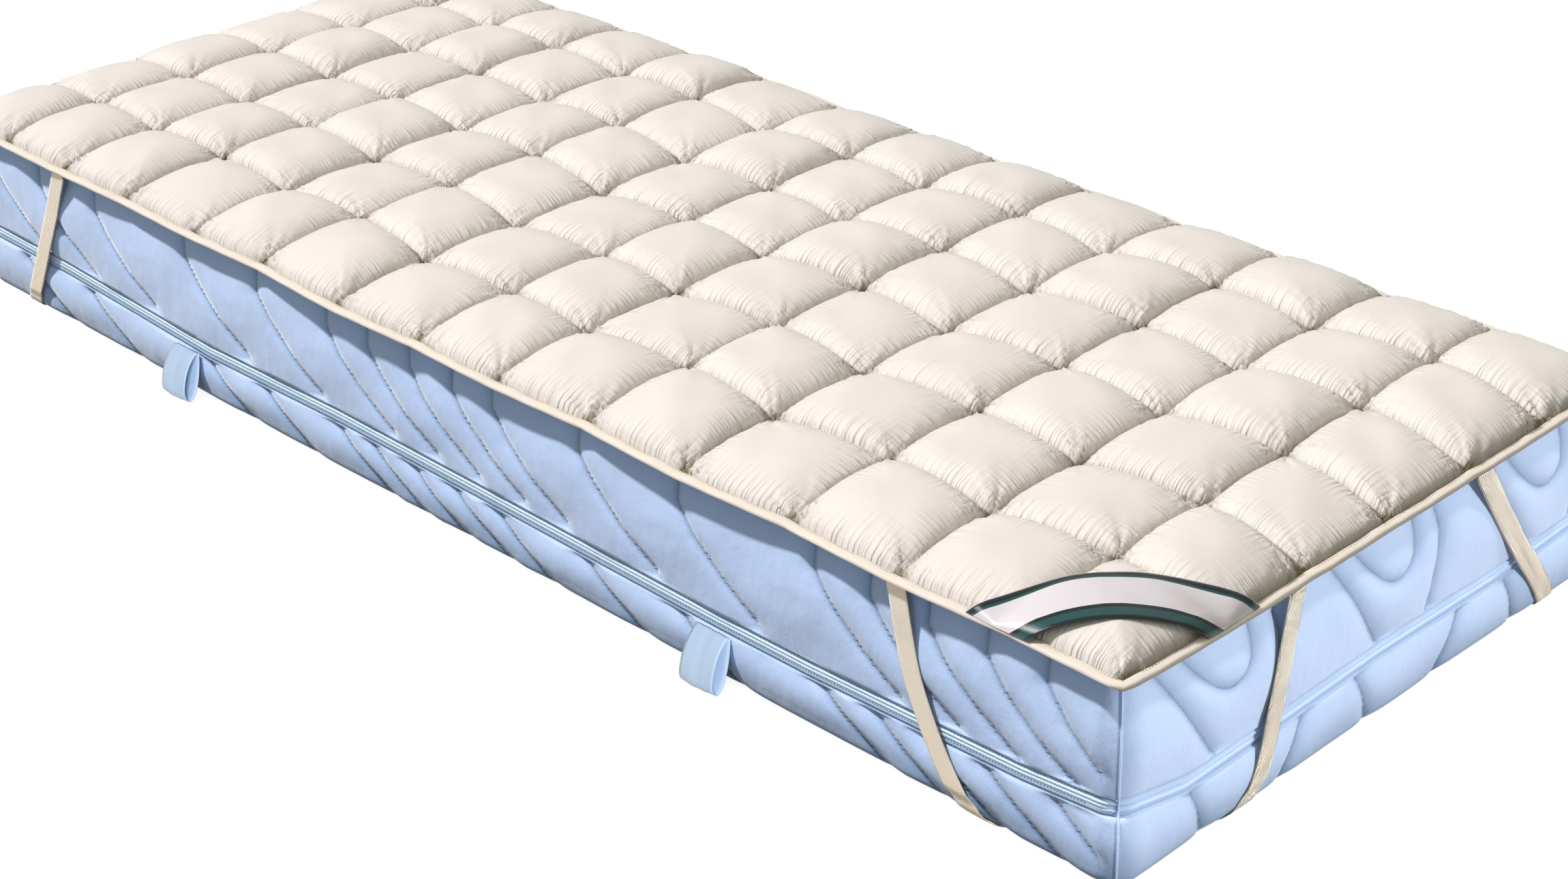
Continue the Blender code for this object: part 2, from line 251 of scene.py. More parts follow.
def makeObject(name, points, faces, material, uv=None, attributes=None, smooth=True):
    mesh = bpy.data.meshes.new(name)
    mesh.from_pydata(np.asarray(points, float).reshape(-1, 3).tolist(), [], faces)
    mesh.materials.append(material)
    if uv is not None:
        layer = mesh.uv_layers.new(name="UVMap")
        loops = np.empty(len(mesh.loops), np.int64)
        mesh.loops.foreach_get("vertex_index", loops)
        layer.data.foreach_set("uv", np.reshape(uv, (-1, 2)).astype(np.float32)[loops].ravel())
    for label, values in (attributes or {}).items():
        made = mesh.attributes.new(label, "FLOAT", "POINT")
        made.data.foreach_set("value", np.ravel(values).astype(np.float32))
    shell = bmesh.new()
    shell.from_mesh(mesh)
    bmesh.ops.recalc_face_normals(shell, faces=shell.faces)
    shell.to_mesh(mesh)
    shell.free()
    if smooth:
        mesh.polygons.foreach_set("use_smooth", [True] * len(mesh.polygons))
    obj = bpy.data.objects.new(name, mesh)
    collection.objects.link(obj)
    return obj


def wear(obj, node=None):
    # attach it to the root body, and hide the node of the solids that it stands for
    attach(obj, "root")
    if node:
        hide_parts(node)


def quads(rows, cols, closeRows=False, closeCols=False, first=0):
    r, c = np.meshgrid(np.arange(rows if closeRows else rows - 1),
                       np.arange(cols if closeCols else cols - 1), indexing="ij")
    r, c = r.ravel(), c.ravel()
    r2, c2 = (r + 1) % rows, (c + 1) % cols
    return (first + np.stack([r * cols + c, r * cols + c2, r2 * cols + c2, r2 * cols + c], 1)).tolist()


def tubeFaces(count, size, first=0):
    # rings of a closed section, with a face at each end
    start, end = list(range(first, first + size)), (count - 1) * size
    return quads(count, size, False, True, first) + [start[::-1], [end + k for k in start]]


def bridge(before, after):
    # a band of faces between two closed loops of points
    return np.stack([before, after, np.roll(after, -1), np.roll(before, -1)], 1).tolist()


def grid(first, second):
    return np.stack(np.meshgrid(first, second, indexing="ij"), -1)


def runAlong(points):
    return np.concatenate([[0], np.cumsum(np.linalg.norm(np.diff(points, axis=0), axis=1))])


def smoothLine(points, steps):
    # a curve through the points
    points = np.asarray(points, float)
    ends = np.vstack([2 * points[0] - points[1], points, 2 * points[-1] - points[-2]])
    found = []
    for a, b, c, d in zip(ends, ends[1:], ends[2:], ends[3:]):
        for t in np.linspace(0, 1, steps, endpoint=False):
            found.append(0.5 * (2 * b + (c - a) * t + (2 * a - 5 * b + 4 * c - d) * t * t
                                + (3 * b - a - 3 * c + d) * t ** 3))
    return np.array(found + [points[-1]])


def seeded(number):
    # a fixed angle for each whole number
    return 2 * np.pi * np.abs(np.modf(np.sin(np.asarray(number, float) * 12.9898 + 4.1) * 43758.5453)[0])


def roughWave(t, seed):
    return (np.sin(2 * np.pi * t + seeded(seed)) + 0.6 * np.sin(2 * np.pi * 1.73 * t + seeded(seed + 31))
            + 0.5 * np.sin(2 * np.pi * 0.61 * t + seeded(seed + 67))) / 2.1


# the pad's surface: seams and outline as in the solid, crowns a little fuller

pad = {
    "cols": 6, "rows": 14,
    "width": 0.800, "length": 2.000,
    "seamHeight": 0.247, "puff": 0.0215, "seamLift": 0.006,
    "edgeDrop": 0.0055, "edgeHalf": 0.0015, "margin": 0.0095, "bow": 0.0022,
    "underside": 0.2385, "inset": 0.022,    # its height, and how far inside the outline it ends
    "rowX": (-12, 13, -6, 9, -11, 9, -9, 1, -14, 13, 0, 11, 3, 6, 0),
    "rowY": (0, -3, -6, -3, 0, 5, 5, -1, -4, 9, 2, 10, 3, -1, 0),
    "fan": 0.9,
    "steps": 32,            # quads across a cell
    "acrossFlat": 4.2, "alongFlat": 2.7,    # how flat a cell's crown is
    "borderFlat": 2.1,      # the same on the outer flank of the outermost cells
    "fill": 0.47,           # how steep its flanks are
    "gatherDepth": 0.0052,
    "creaseDepth": 0.0078,  # creases that run out of each crossing
    "lumps": 0.0011,
}
cols, rows = pad["cols"], pad["rows"]


def crossingGrid():
    i, j = np.meshgrid(np.arange(cols + 1), np.arange(rows + 1), indexing="ij")
    side, end = (i == 0) | (i == cols), (j == 0) | (j == rows)
    x = pad["width"] * (i / cols - 0.5) + np.take(pad["rowX"], j) / 1000 * np.where(side, 0.3, 1.0)
    fan = np.where(end, 0.0, pad["fan"] * (i - 3) * (6 - j))
    y = pad["length"] * (j / rows - 0.5) + (np.take(pad["rowY"], j) + fan) / 1000
    corner = side & end
    x = np.where(corner, pad["width"] * (i / cols - 0.5) * 0.995, x)
    y = np.where(corner, pad["length"] * (j / rows - 0.5) * 0.996, y)
    return np.stack([x, y], -1)


crossings = crossingGrid()


def cellOf(u, v):
    # the cell of each point, and its place in that cell
    i = np.minimum(u.astype(int), cols - 1)
    j = np.minimum(v.astype(int), rows - 1)
    return i, j, u - i, v - j


def padTop(u, v):
    u, v = np.asarray(u, float), np.asarray(v, float)
    i, j, a, b = cellOf(u, v)
    a1, b1 = a[..., None], b[..., None]
    flat = ((1 - a1) * ((1 - b1) * crossings[i, j] + b1 * crossings[i, j + 1])
            + a1 * ((1 - b1) * crossings[i + 1, j] + b1 * crossings[i + 1, j + 1]))
    west, east = np.maximum(0, 1 - u) ** 2, np.maximum(0, u - cols + 1) ** 2
    south, north = np.maximum(0, 1 - v) ** 2, np.maximum(0, v - rows + 1) ** 2
    x = flat[..., 0] + pad["bow"] * np.sin(np.pi * b) ** 0.8 * (east - west)
    y = flat[..., 1] + pad["bow"] * np.sin(np.pi * a) ** 0.8 * (north - south)
    nearEdge = np.maximum.reduce([west, east, south, north])
    outerSide = (u < 0.5) | (u > cols - 0.5)
    outerEnd = (v < 0.5) | (v > rows - 0.5)
    across = 1 - np.abs(2 * a - 1) ** np.where(outerSide, pad["borderFlat"], pad["acrossFlat"])
    along = 1 - np.abs(2 * b - 1) ** np.where(outerEnd, pad["borderFlat"], pad["alongFlat"])
    full = 1 + 0.13 * np.sin(2.1 * i + 1.7 * j) + 0.10 * np.sin(5.3 * i - 2.9 * j + 1)
    crown = pad["puff"] * full * (np.maximum(across, 0) * np.maximum(along, 0)) ** pad["fill"]
    floor = pad["seamLift"] * (1 - (1 - np.sin(np.pi * a)) * (1 - np.sin(np.pi * b)))
    z = pad["seamHeight"] - 0.003 + floor * (1 - 0.75 * nearEdge) + crown - pad["edgeDrop"] * nearEdge
    return np.stack([x, y, z], -1)


def padFolds(u, v):
    # height of gathers, creases and lumps, and how near each point is to its seams
    i, j, a, b = cellOf(u, v)
    wide, long = 1000 * pad["width"] / cols, 1000 * pad["length"] / rows
    fromSide, fromCross = np.minimum(a, 1 - a) * wide, np.minimum(b, 1 - b) * long
    sideSeam, crossSeam = i + (a > 0.5), j + (b > 0.5)
    sideOf, crossOf = np.where(a > 0.5, 1, 2), np.where(b > 0.5, 3, 5)
    atBorder = (sideSeam % cols == 0) * 1.0
    atEnd = (crossSeam % rows == 0) * 1.0
    total = np.zeros_like(u)
    for away, other, place, seam, border, way in (
            (fromSide, fromCross, v * long, 7 * sideSeam + 53 * sideOf, atBorder, j),
            (fromCross, fromSide, u * wide, 11 * crossSeam + 31 * crossOf, atEnd, i)):
        drift = place + 2.5 * np.sin(away / 9 + seeded(seam + way))
        ripple = roughWave(drift / 12.5, seam)
        ripple = np.abs(ripple) ** 0.7 - 0.45
        reach = 14 + 7 * np.sin(place / 23 + seeded(seam + 5)) + 5 * border
        envelope = (1 - np.exp(-away / 2.5)) * np.exp(-(away / reach) ** 1.5)
        strength = 0.20 + 1.05 * np.exp(-other / 24) + 0.45 * border
        strength = strength * (0.75 + 0.35 * np.sin(place / 31 + seeded(seam + 17)))
        total += pad["gatherDepth"] * ripple * envelope * strength
    radius = np.hypot(fromSide, fromCross)
    angle = np.arctan2(fromCross, fromSide + 1e-6) / (np.pi / 2)
    corner = 3 * sideSeam + 17 * crossSeam + 101 * sideOf + 211 * crossOf
    spread = np.abs(roughWave(2.6 * angle + 0.15 * np.sin(radius / 14), corner)) ** 0.7 - 0.45
    total += pad["creaseDepth"] * spread * (1 - np.exp(-radius / 5)) * np.exp(-(radius / 34) ** 1.6)
    x, y = u * wide, v * long
    lumps = (np.sin(x / 13 + 1.3 * np.sin(y / 19) + seeded(i + 9 * j))
             + np.sin(y / 15 + 1.1 * np.sin(x / 17) + seeded(5 * i + j))) * 0.5
    total += pad["lumps"] * lumps * np.minimum(1, np.minimum(fromSide, fromCross) / 30)
    return total, fromSide, fromCross


def cellSteps(count):
    # fine near the seams, wider in the middle of a cell
    even = np.linspace(0, 1, count, endpoint=False)
    return even - 0.11 * np.sin(2 * np.pi * even) / (2 * np.pi) * 4


def rimStations(steps):
    # (u, v, out) round the last seam, counter-clockwise from the near corner at -X, -Y
    east = [(i + s, 0.0, (0, -1)) for i in range(cols) for s in steps]
    north = [(float(cols), j + s, (1, 0)) for j in range(rows) for s in steps]
    west = [(cols - u, float(rows), (0, 1)) for u, _, _ in east]
    south = [(0.0, rows - v, (-1, 0)) for _, v, _ in north]
    found = []
    for side, before in ((east, (-1, 0)), (north, (0, -1)), (west, (1, 0)), (south, (0, 1))):
        for k, (u, v, out) in enumerate(side):
            way = np.array(out, float)
            if k == 0:
                way = (way + np.array(before, float)) * 0.70
            found.append((u, v, *way))
    return np.array(found)


def buildTopper(material):
    steps = cellSteps(pad["steps"])
    us = np.append((np.arange(cols)[:, None] + steps).ravel(), cols)
    vs = np.append((np.arange(rows)[:, None] + steps).ravel(), rows)
    v, u = np.meshgrid(vs, us, indexing="ij")
    top = padTop(u, v)
    folds, fromSide, fromCross = padFolds(u, v)
    top[..., 2] += folds
    wide = len(us)
    points, faces = [top.reshape(-1, 3)], quads(len(vs), wide)
    uv = [np.stack([u, v], -1).reshape(-1, 2)]
    fromSeam, fromPit = np.minimum(fromSide, fromCross), np.hypot(fromSide, fromCross)
    # painted shade: darker along the seams, in the pits where they cross, in the bottoms of gathers near
    # them and along the end seams
    creaseShade = np.exp(-fromSeam / 2.6) + 2.1 * np.exp(-(fromPit / 7) ** 2)
    deepest = np.clip((-folds - 0.0006) / 0.0014, 0, 1)     # the bottoms of gathers near the seams
    creaseShade += deepest * (0.55 + 1.9 * np.exp(-fromPit / 18)) * np.exp(-fromSeam / 15)
    atEnds = (v < 0.5) | (v > rows - 0.5)
    creaseShade += 1.1 * atEnds * np.exp(-(fromCross / 6) ** 2)
    masks = {"nearSide": [np.exp(-fromSide / 16).ravel()], "nearCross": [np.exp(-fromCross / 16).ravel()],
             "creaseShade": [creaseShade.ravel()]}
    stations = rimStations(steps)
    order = {}
    for row in range(len(vs)):
        for col in (range(wide) if row in (0, len(vs) - 1) else (0, wide - 1)):
            order[round(float(us[col]), 5), round(float(vs[row]), 5)] = row * wide + col
    loop = np.array([order[round(float(a), 5), round(float(b), 5)] for a, b in stations[:, :2]])
    edge = padTop(stations[:, 0], stations[:, 1])
    margin, thick = pad["margin"], 2 * pad["edgeHalf"]
    rings = [edge + np.column_stack([out * stations[:, 2:], np.full(len(edge), up)])
             for out, up in ((margin, 0.0), (margin, -thick), (0.0, -thick))]
    inner = np.array([pad["width"], pad["length"]]) / 2 - pad["inset"]
    level = np.full(len(edge), pad["underside"])
    rings.append(np.column_stack([np.clip(edge[:, :2], -inner, inner), level]))
    count = top.shape[0] * wide
    for ring in rings:
        after = np.arange(count, count + len(ring))
        count += len(ring)
        faces += bridge(loop, after)
        loop = after
        points.append(ring)
        uv.append(stations[:, :2])
        for mask in masks.values():
            mask.append(np.full(len(ring), 0.5))
    faces.append(loop[::-1].tolist())
    return makeObject("topperCloth", np.concatenate(points), faces, material, uv=np.concatenate(uv),
                      attributes={label: np.concatenate(parts) for label, parts in masks.items()})


def padCloth():
    # painted shade: mixes towards the khaki tint(120, 111, 80) along seams, in pits and gather bottoms, and
    # a little near cross seams
    def mask(tree):
        line = maths(tree, "MULTIPLY", attribute(tree, "creaseShade"), 0.31)
        flank = maths(tree, "MULTIPLY", attribute(tree, "nearCross"), 0.12)
        return maths(tree, "ADD", line, flank)

    def height(tree):
        return group(tree, gathers, {"Vector": uvPlace(tree), "Near side seam": attribute(tree, "nearSide"),
                                     "Near cross seam": attribute(tree, "nearCross")}), 0.0082
    return clothMaterial("padCotton", tint(247, 241, 237), tint(120, 111, 80),
                         {"threads": 4200.0, "weaveHeight": 0.00010, "roughness": 0.72, "sheen": 0.35,
                          "patch": 0.05, "patchSize": 11.0}, mask, height)


topper = buildTopper(padCloth())
wear(topper, "topper")
print("topper made:", len(topper.data.polygons), "faces")


# binding tape

binding = {
    "spacing": 18,       # stations in a cell's length
    "half": 0.0018, "tape": 0.0014, "hem": 0.0012, "rim": 0.0114,
    "wave": 0.00035,
}


def buildBinding(material):
    stations = rimStations(np.linspace(0, 1, binding["spacing"], endpoint=False))
    edge = padTop(stations[:, 0], stations[:, 1])
    inside, outer = binding["half"], binding["half"] + binding["tape"]
    turn = np.linspace(-np.pi / 2, np.pi / 2, 9)
    hem, rim, seat = binding["hem"], binding["rim"], pad["margin"] + 0.0003
    section = [(hem, inside), (seat, inside), (seat, -inside), (hem, -inside),
               (hem, -outer + 0.0003), (hem + 0.0007, -outer), (rim - 0.0055, -outer)]
    section += [(rim - 0.0028 + 0.0028 * math.cos(t), outer * 0.92 * math.sin(t)) for t in turn]
    section += [(rim - 0.0055, outer), (hem + 0.0007, outer), (hem, outer - 0.0003)]
    out, up = np.array(section).T
    along = np.arange(len(stations))[:, None]
    ripple = binding["wave"] * (np.sin(along * 0.9) + 0.7 * np.sin(along * 0.37 + 1))
    up = up + np.where(up > 0, 1, 0.4) * ripple - pad["edgeHalf"]
    flat = edge[:, None, :2] + out[:, None] * stations[:, None, 2:]
    points = np.concatenate([flat, edge[:, None, 2:] + up[..., None]], -1)
    size = len(section)
    return makeObject("bindingTape", points, quads(len(stations), size, True, True), material,
                      uv=grid(along[:, 0] / binding["spacing"], np.arange(size) / size))


bindingTape = buildBinding(clothMaterial(
    "bindingTape", tint(250, 241, 230), tint(230, 215, 196),
    {"threads": 3000.0, "weaveHeight": 0.00018, "roughness": 0.8, "sheen": 0.2,
     "patch": 0.12, "patchSize": 24.0}))
wear(bindingTape, "binding")
print("binding made")


# stitches, by Geometry Nodes

def stitchTree():
    tree, given, out = newGroup(
        "stitches",
        (("Geometry", "Geometry", None), ("Pitch", "Float", 0.004), ("Length", "Float", 0.003),
         ("Thickness", "Float", 0.0004), ("Material", "Material", None)),
        (("Geometry", "Geometry"),), "GeometryNodeTree")
    curve = addNode(tree, "GeometryNodeMeshToCurve", {"Mesh": given["Geometry"]}).outputs["Curve"]
    points = addNode(tree, "GeometryNodeCurveToPoints", {"Curve": curve, "Length": given["Pitch"]},
                     mode="LENGTH").outputs
    stitch = addNode(tree, "GeometryNodeMeshUVSphere", {"Segments": 5, "Rings": 3, "Radius": 0.5})
    size = addNode(tree, "ShaderNodeCombineXYZ", {"X": given["Thickness"], "Y": given["Thickness"],
                                                  "Z": given["Length"]})
    shape = addNode(tree, "GeometryNodeTransform", {"Geometry": stitch.outputs["Mesh"],
                                                    "Scale": size.outputs["Vector"]})
    turn = addNode(tree, "FunctionNodeAlignRotationToVector", {"Vector": points["Tangent"]}, axis="Z")
    copies = addNode(tree, "GeometryNodeInstanceOnPoints", {
        "Points": points["Points"], "Instance": shape.outputs["Geometry"],
        "Rotation": turn.outputs["Rotation"]}).outputs["Instances"]
    real = addNode(tree, "GeometryNodeRealizeInstances", {"Geometry": copies}).outputs["Geometry"]
    paint = addNode(tree, "GeometryNodeSetMaterial", {"Geometry": real, "Material": given["Material"]})
    feed(tree, out, {"Geometry": paint.outputs["Geometry"]})
    return tree


stitches = stitchTree()


def sewAlong(name, lines, material, sizes):
    points, edges = [], []
    for line in lines:
        edges += [(len(points) + k, len(points) + k + 1) for k in range(len(line) - 1)]
        points += np.asarray(line, float).tolist()
    mesh = bpy.data.meshes.new(name + "Path")
    mesh.from_pydata(points, edges, [])
    path = bpy.data.objects.new(name + "Path", mesh)
    collection.objects.link(path)
    modifier = path.modifiers.new("stitches", "NODES")
    modifier.node_group = stitches
    sockets = {item.name: item.identifier for item in stitches.interface.items_tree
               if item.in_out == "INPUT"}
    for label, value in zip(("Pitch", "Length", "Thickness", "Material"), (*sizes, material)):
        modifier[sockets[label]] = value
    graph = bpy.context.evaluated_depsgraph_get()
    made = bpy.data.meshes.new_from_object(path.evaluated_get(graph))
    bpy.data.objects.remove(path, do_unlink=True)
    made.name = name
    made.polygons.foreach_set("use_smooth", [True] * len(made.polygons))
    obj = bpy.data.objects.new(name, made)
    collection.objects.link(obj)
    wear(obj)
    return obj


threads = {
    # pitch, length and thickness of the stitches
    "pad": (0.0046, 0.0036, 0.0011),
    "edge": (0.0040, 0.0030, 0.0007),
    "zip": (0.0040, 0.0030, 0.0012),
    "handle": (0.0036, 0.0027, 0.0006),
}


def threadMaterial(name, colour, deep):
    return clothMaterial(name, colour, deep, {"threads": 9000.0, "weaveHeight": 0.0001, "roughness": 0.55,
                                              "sheen": 0.1, "patch": 0.15, "patchSize": 60.0})


def seamLines():
    found = []
    for i in range(1, cols):
        v = np.linspace(0.02, rows - 0.02, rows * 20)
        found.append(padTop(np.full(len(v), i + 1e-6), v) + (0, 0, 0.0006))
    for j in range(1, rows):
        u = np.linspace(0.02, cols - 0.02, cols * 20)
        found.append(padTop(u, np.full(len(u), j + 1e-6)) + (0, 0, 0.0006))
    return found


def edgeLine():
    stations = rimStations(np.linspace(0, 1, binding["spacing"], endpoint=False))
    line = padTop(stations[:, 0], stations[:, 1])
    line[:, :2] += 0.0034 * stations[:, 2:]
    line[:, 2] += binding["half"] + binding["tape"] - pad["edgeHalf"] + 0.0002
    return np.vstack([line, line[:1]])


padThread = threadMaterial("padThread", tint(214, 200, 172), tint(150, 135, 105))
padStitches = sewAlong("padStitches", seamLines(), padThread, threads["pad"])
edgeThread = threadMaterial("edgeThread", tint(226, 205, 175), tint(170, 145, 110))
edgeStitches = sewAlong("edgeStitches", [edgeLine()], edgeThread, threads["edge"])
print("stitches made")


# satin band round the near corner

band = {
    "near": 0.115, "far": 0.1885, "pull": 0.040, "thick": 0.0010,
    "corner": 0.0105,       # how far outside the corner of the seams its arc's centre lies
    "lift": 0.0010, "overTape": 0.0018,     # how far above the pad it lies, and at the tape
    "turns": 72, "across": 18,
    "stripes": ((0.0, 0.27), (0.865, 0.985)),   # dark stripes, as shares of the width from the inner edge
}


def bandHeight(x, y):
    best = np.zeros_like(x)
    for dx, dy in ((0, 0), (0.010, 0), (-0.010, 0), (0, 0.010), (0, -0.010)):
        u = np.clip((x + dx) / pad["width"] * cols + cols / 2, 0, cols)
        v = np.clip((y + dy) / pad["length"] * rows + rows / 2, 0, rows)
        best = np.maximum(best, padTop(u, v)[..., 2])
    atTape = np.minimum(x + pad["width"] / 2, y + pad["length"] / 2) < 0.006
    return best + np.where(atTape, band["overTape"], band["lift"])


def buildBand(material):
    turn = np.linspace(0, np.pi / 2, band["turns"] + 1)[:, None]
    share = np.linspace(0, 1, band["across"] + 1)[None, :]
    pull = band["pull"] * np.abs(np.sin(2 * turn)) ** 0.6
    radius = band["near"] + (band["far"] - band["near"]) * share - pull
    x = -pad["width"] / 2 - band["corner"] + radius * np.sin(turn)
    y = -pad["length"] / 2 - band["corner"] + radius * np.cos(turn)
    z = bandHeight(x, y)
    for _ in range(2500):       # pulled tight over the crowns
        z[1:-1] = np.maximum(z[1:-1], 0.5 * (z[:-2] + z[2:]))
    z = z + 0.0007 * np.abs(np.sin(2 * turn)) ** 0.5 * np.sin(9 * turn + 4 * share) * share
    under = np.stack([x, y, z], -1)
    over = under + (0, 0, band["thick"])
    ring = np.concatenate([over, under[:, ::-1]], 1)
    across = np.concatenate([share[0], share[0][::-1]])
    length = float(runAlong(under[:, band["across"] // 2])[-1])
    return makeObject("satinBand", ring, tubeFaces(len(ring), ring.shape[1]), material,
                      uv=grid(turn[:, 0], across)), length


def satinCloth():
    mat, tree, bsdf = newMaterial("satin")
    coords = objectPlace(tree)
    ramp = addNode(tree, "ShaderNodeValToRGB", {"Fac": separate(tree, uvPlace(tree))["Y"]})
    ramp.color_ramp.interpolation = "CONSTANT"
    white, green, teal = tint(236, 231, 238), tint(8, 34, 36), tint(28, 80, 82)
    (a, b), (c, d) = band["stripes"]
    marks = [(a, green), (a + 0.06, teal), (b - 0.07, green), (b, white), (c, teal),
             (c + 0.045, green), (d, white)]
    ramp.color_ramp.elements[0].color = marks[0][1]
    ramp.color_ramp.elements.remove(ramp.color_ramp.elements[1])
    for place, colour in marks[1:]:
        ramp.color_ramp.elements.new(place).color = colour
    colour = group(tree, toneAndPaintedShade, {"Vector": coords, "Base": ramp.outputs["Color"],
                                     "Deep": tint(150, 150, 150), "Patch": 0.04, "Size": 30.0})
    woven = group(tree, weave, {"Vector": coords, "Threads": 7000.0, "Slub": 0.3})
    feed(tree, bsdf, {"Base Color": colour, "Roughness": 0.32, "Anisotropic": 0.5, "Sheen Weight": 0.15,
                      "Normal": bumped(tree, woven, 0.00006)})
    return mat


satinBand, bandLength = buildBand(satinCloth())
wear(satinBand, "label_band")
print("satin band made")


# mattress

mattress = {
    "width": 0.794, "length": 1.994, "bottom": 0.002, "top": 0.238,
    "corner": 0.030, "edge": 0.018,
    "zipLongY": (-0.967, -0.88, -0.60, -0.47, -0.10, 0.18, 0.45, 0.77, 0.967),
    "zipLongZ": (0.094, 0.086, 0.076, 0.075, 0.079, 0.081, 0.075, 0.088, 0.090),
    "zipShortX": (-0.367, -0.30, -0.14, 0.00, 0.21, 0.367),
    "zipShortZ": (0.094, 0.080, 0.083, 0.087, 0.083, 0.090),
    "groove": 0.0115, "grooveDepth": 0.0045,    # half the height of the zip's groove, and its depth
    "lowPuff": 0.0032, "highPuff": 0.0049,      # how far the panels swell below and above it
    "spacing": 0.0046,
    "creaseWidth": 0.0035, "channelWidth": 0.014, "channelDepth": 0.0086,
    "lowShade": 0.025,   # how far up the shade of the lower edge reaches
    # where the sewn channels of a long side leave its top edge, and those below the zip
    "upperY": (0.930, 0.815, 0.680, 0.478, 0.326, 0.187, 0.108, 0.031, -0.045, -0.116, -0.260, -0.413,
               -0.610, -0.685, -0.760, -0.835, -0.908),
    "lowerY": (0.880, 0.724, 0.471, 0.344, 0.192, 0.127, 0.052, -0.025, -0.099, -0.249, -0.396,
               -0.605, -0.680, -0.753, -0.831, -0.921),
    "period": 0.259,     # the short sides repeat
    "shortLines": (((-0.353, 0.224), (-0.317, 0.175), (-0.281, 0.123), (-0.262, 0.096)),
                   ((-0.316, 0.224), (-0.286, 0.190), (-0.257, 0.165), (-0.232, 0.158), (-0.214, 0.172),
                    (-0.212, 0.195), (-0.217, 0.224)),
                   ((-0.183, 0.224), (-0.169, 0.180), (-0.174, 0.130), (-0.180, 0.096))),
    "shortLow": (((-0.294, 0.070), (-0.282, 0.044), (-0.264, 0.000)),
                 ((-0.118, 0.074), (-0.132, 0.048), (-0.153, 0.000))),
}


def sidePlaces():
    # points round the mattress, counter-clockwise, each with its way out and its place along its side
    halfW, halfL, radius = mattress["width"] / 2, mattress["length"] / 2, mattress["corner"]
    places, outs = [], []
    for start, end, out in (((-halfW + radius, -halfL), (halfW - radius, -halfL), (0, -1)),
                            ((halfW, -halfL + radius), (halfW, halfL - radius), (1, 0)),
                            ((halfW - radius, halfL), (-halfW + radius, halfL), (0, 1)),
                            ((-halfW, halfL - radius), (-halfW, -halfL + radius), (-1, 0))):
        start, end, out = np.array(start), np.array(end), np.array(out, float)
        count = int(np.linalg.norm(end - start) / mattress["spacing"])
        for t in np.linspace(0, 1, count + 1):
            places.append(start + (end - start) * t)
            outs.append(out)
        turned = np.array([-out[1], out[0]])
        centre = end - out * radius
        for angle in np.linspace(0, np.pi / 2, 9)[1:-1]:
            way = out * math.cos(angle) + turned * math.sin(angle)
            places.append(centre + way * radius)
            outs.append(way)
    return np.array(places), np.array(outs)


def zipHeight(places, outs):
    longSide = np.interp(places[:, 1], mattress["zipLongY"], mattress["zipLongZ"])
    shortSide = np.interp(places[:, 0], mattress["zipShortX"], mattress["zipShortZ"])
    return np.where(np.abs(outs[:, 0]) > np.abs(outs[:, 1]), longSide, shortSide)


def channelDistance(s, z, lines):
    # signed distance from the nearest channel, negative on its left
    best = np.full(s.shape, 9.0)
    for line in lines:
        line = np.asarray(line, float)
        for (s0, z0), (s1, z1) in zip(line, line[1:]):
            ds, dz = s1 - s0, z1 - z0
            size = ds * ds + dz * dz
            t = np.clip(((s - s0) * ds + (z - z0) * dz) / size, 0, 1)
            away = np.hypot(s - s0 - t * ds, z - z0 - t * dz)
            side = np.sign((s - s0) * dz - (z - z0) * ds + 1e-9)
            best = np.where(away < np.abs(best), away * side, best)
    return best


def channelLines():
    longLines = []
    for y in mattress["upperY"]:
        z = np.array([0.228, 0.196, 0.165, 0.130, 0.098])
        drift = 1.16 * np.maximum(0, 0.196 - z) - 0.012 * np.sin(np.pi * np.clip((0.196 - z) / 0.1, 0, 1))
        longLines.append(np.column_stack([y - drift, z]))
    for y in mattress["lowerY"]:
        z = np.array([0.072, 0.055, 0.035, 0.012, 0.0])
        longLines.append(np.column_stack([y - 1.45 * (0.072 - z), z]))
    shortLines = []
    for k in range(3):
        for line in mattress["shortLines"] + mattress["shortLow"]:
            moved = smoothLine(line, 4) + (k * mattress["period"], 0)
            if moved[:, 0].max() < 0.352:
                shortLines.append(moved)
    return longLines, shortLines


def sideSection(zipZ):
    # (out, height) of the side from the underside up, for one height of the zip
    low = [(-mattress["edge"] * (1 - math.sin(t)), mattress["bottom"] + mattress["edge"] * (1 - math.cos(t)))
           for t in np.linspace(0, np.pi / 2, 7)]
    high = [(-mattress["edge"] * (1 - math.cos(t)), mattress["top"] - mattress["edge"] * (1 - math.sin(t)))
            for t in np.linspace(0, np.pi / 2, 8)]
    bottom, top = mattress["bottom"] + mattress["edge"], mattress["top"] - mattress["edge"]
    under, over, deep = zipZ - mattress["groove"], zipZ + mattress["groove"], -mattress["grooveDepth"]
    lower = [(mattress["lowPuff"] * math.sin(np.pi * t) + 0.0010 * t, bottom + (under - bottom) * t)
             for t in np.linspace(0, 1, 14)[1:]]
    groove = [(0.0002, under + 0.0011), (deep, under + 0.0022), (deep, zipZ),
              (deep, over - 0.0022), (0.0002, over - 0.0011)]
    upper = [(mattress["highPuff"] * math.sin(np.pi * t) + 0.0010 * (1 - t), over + (top - over) * t)
             for t in np.linspace(0, 1, 28)[:-1]]
    return low + lower + groove + upper + high


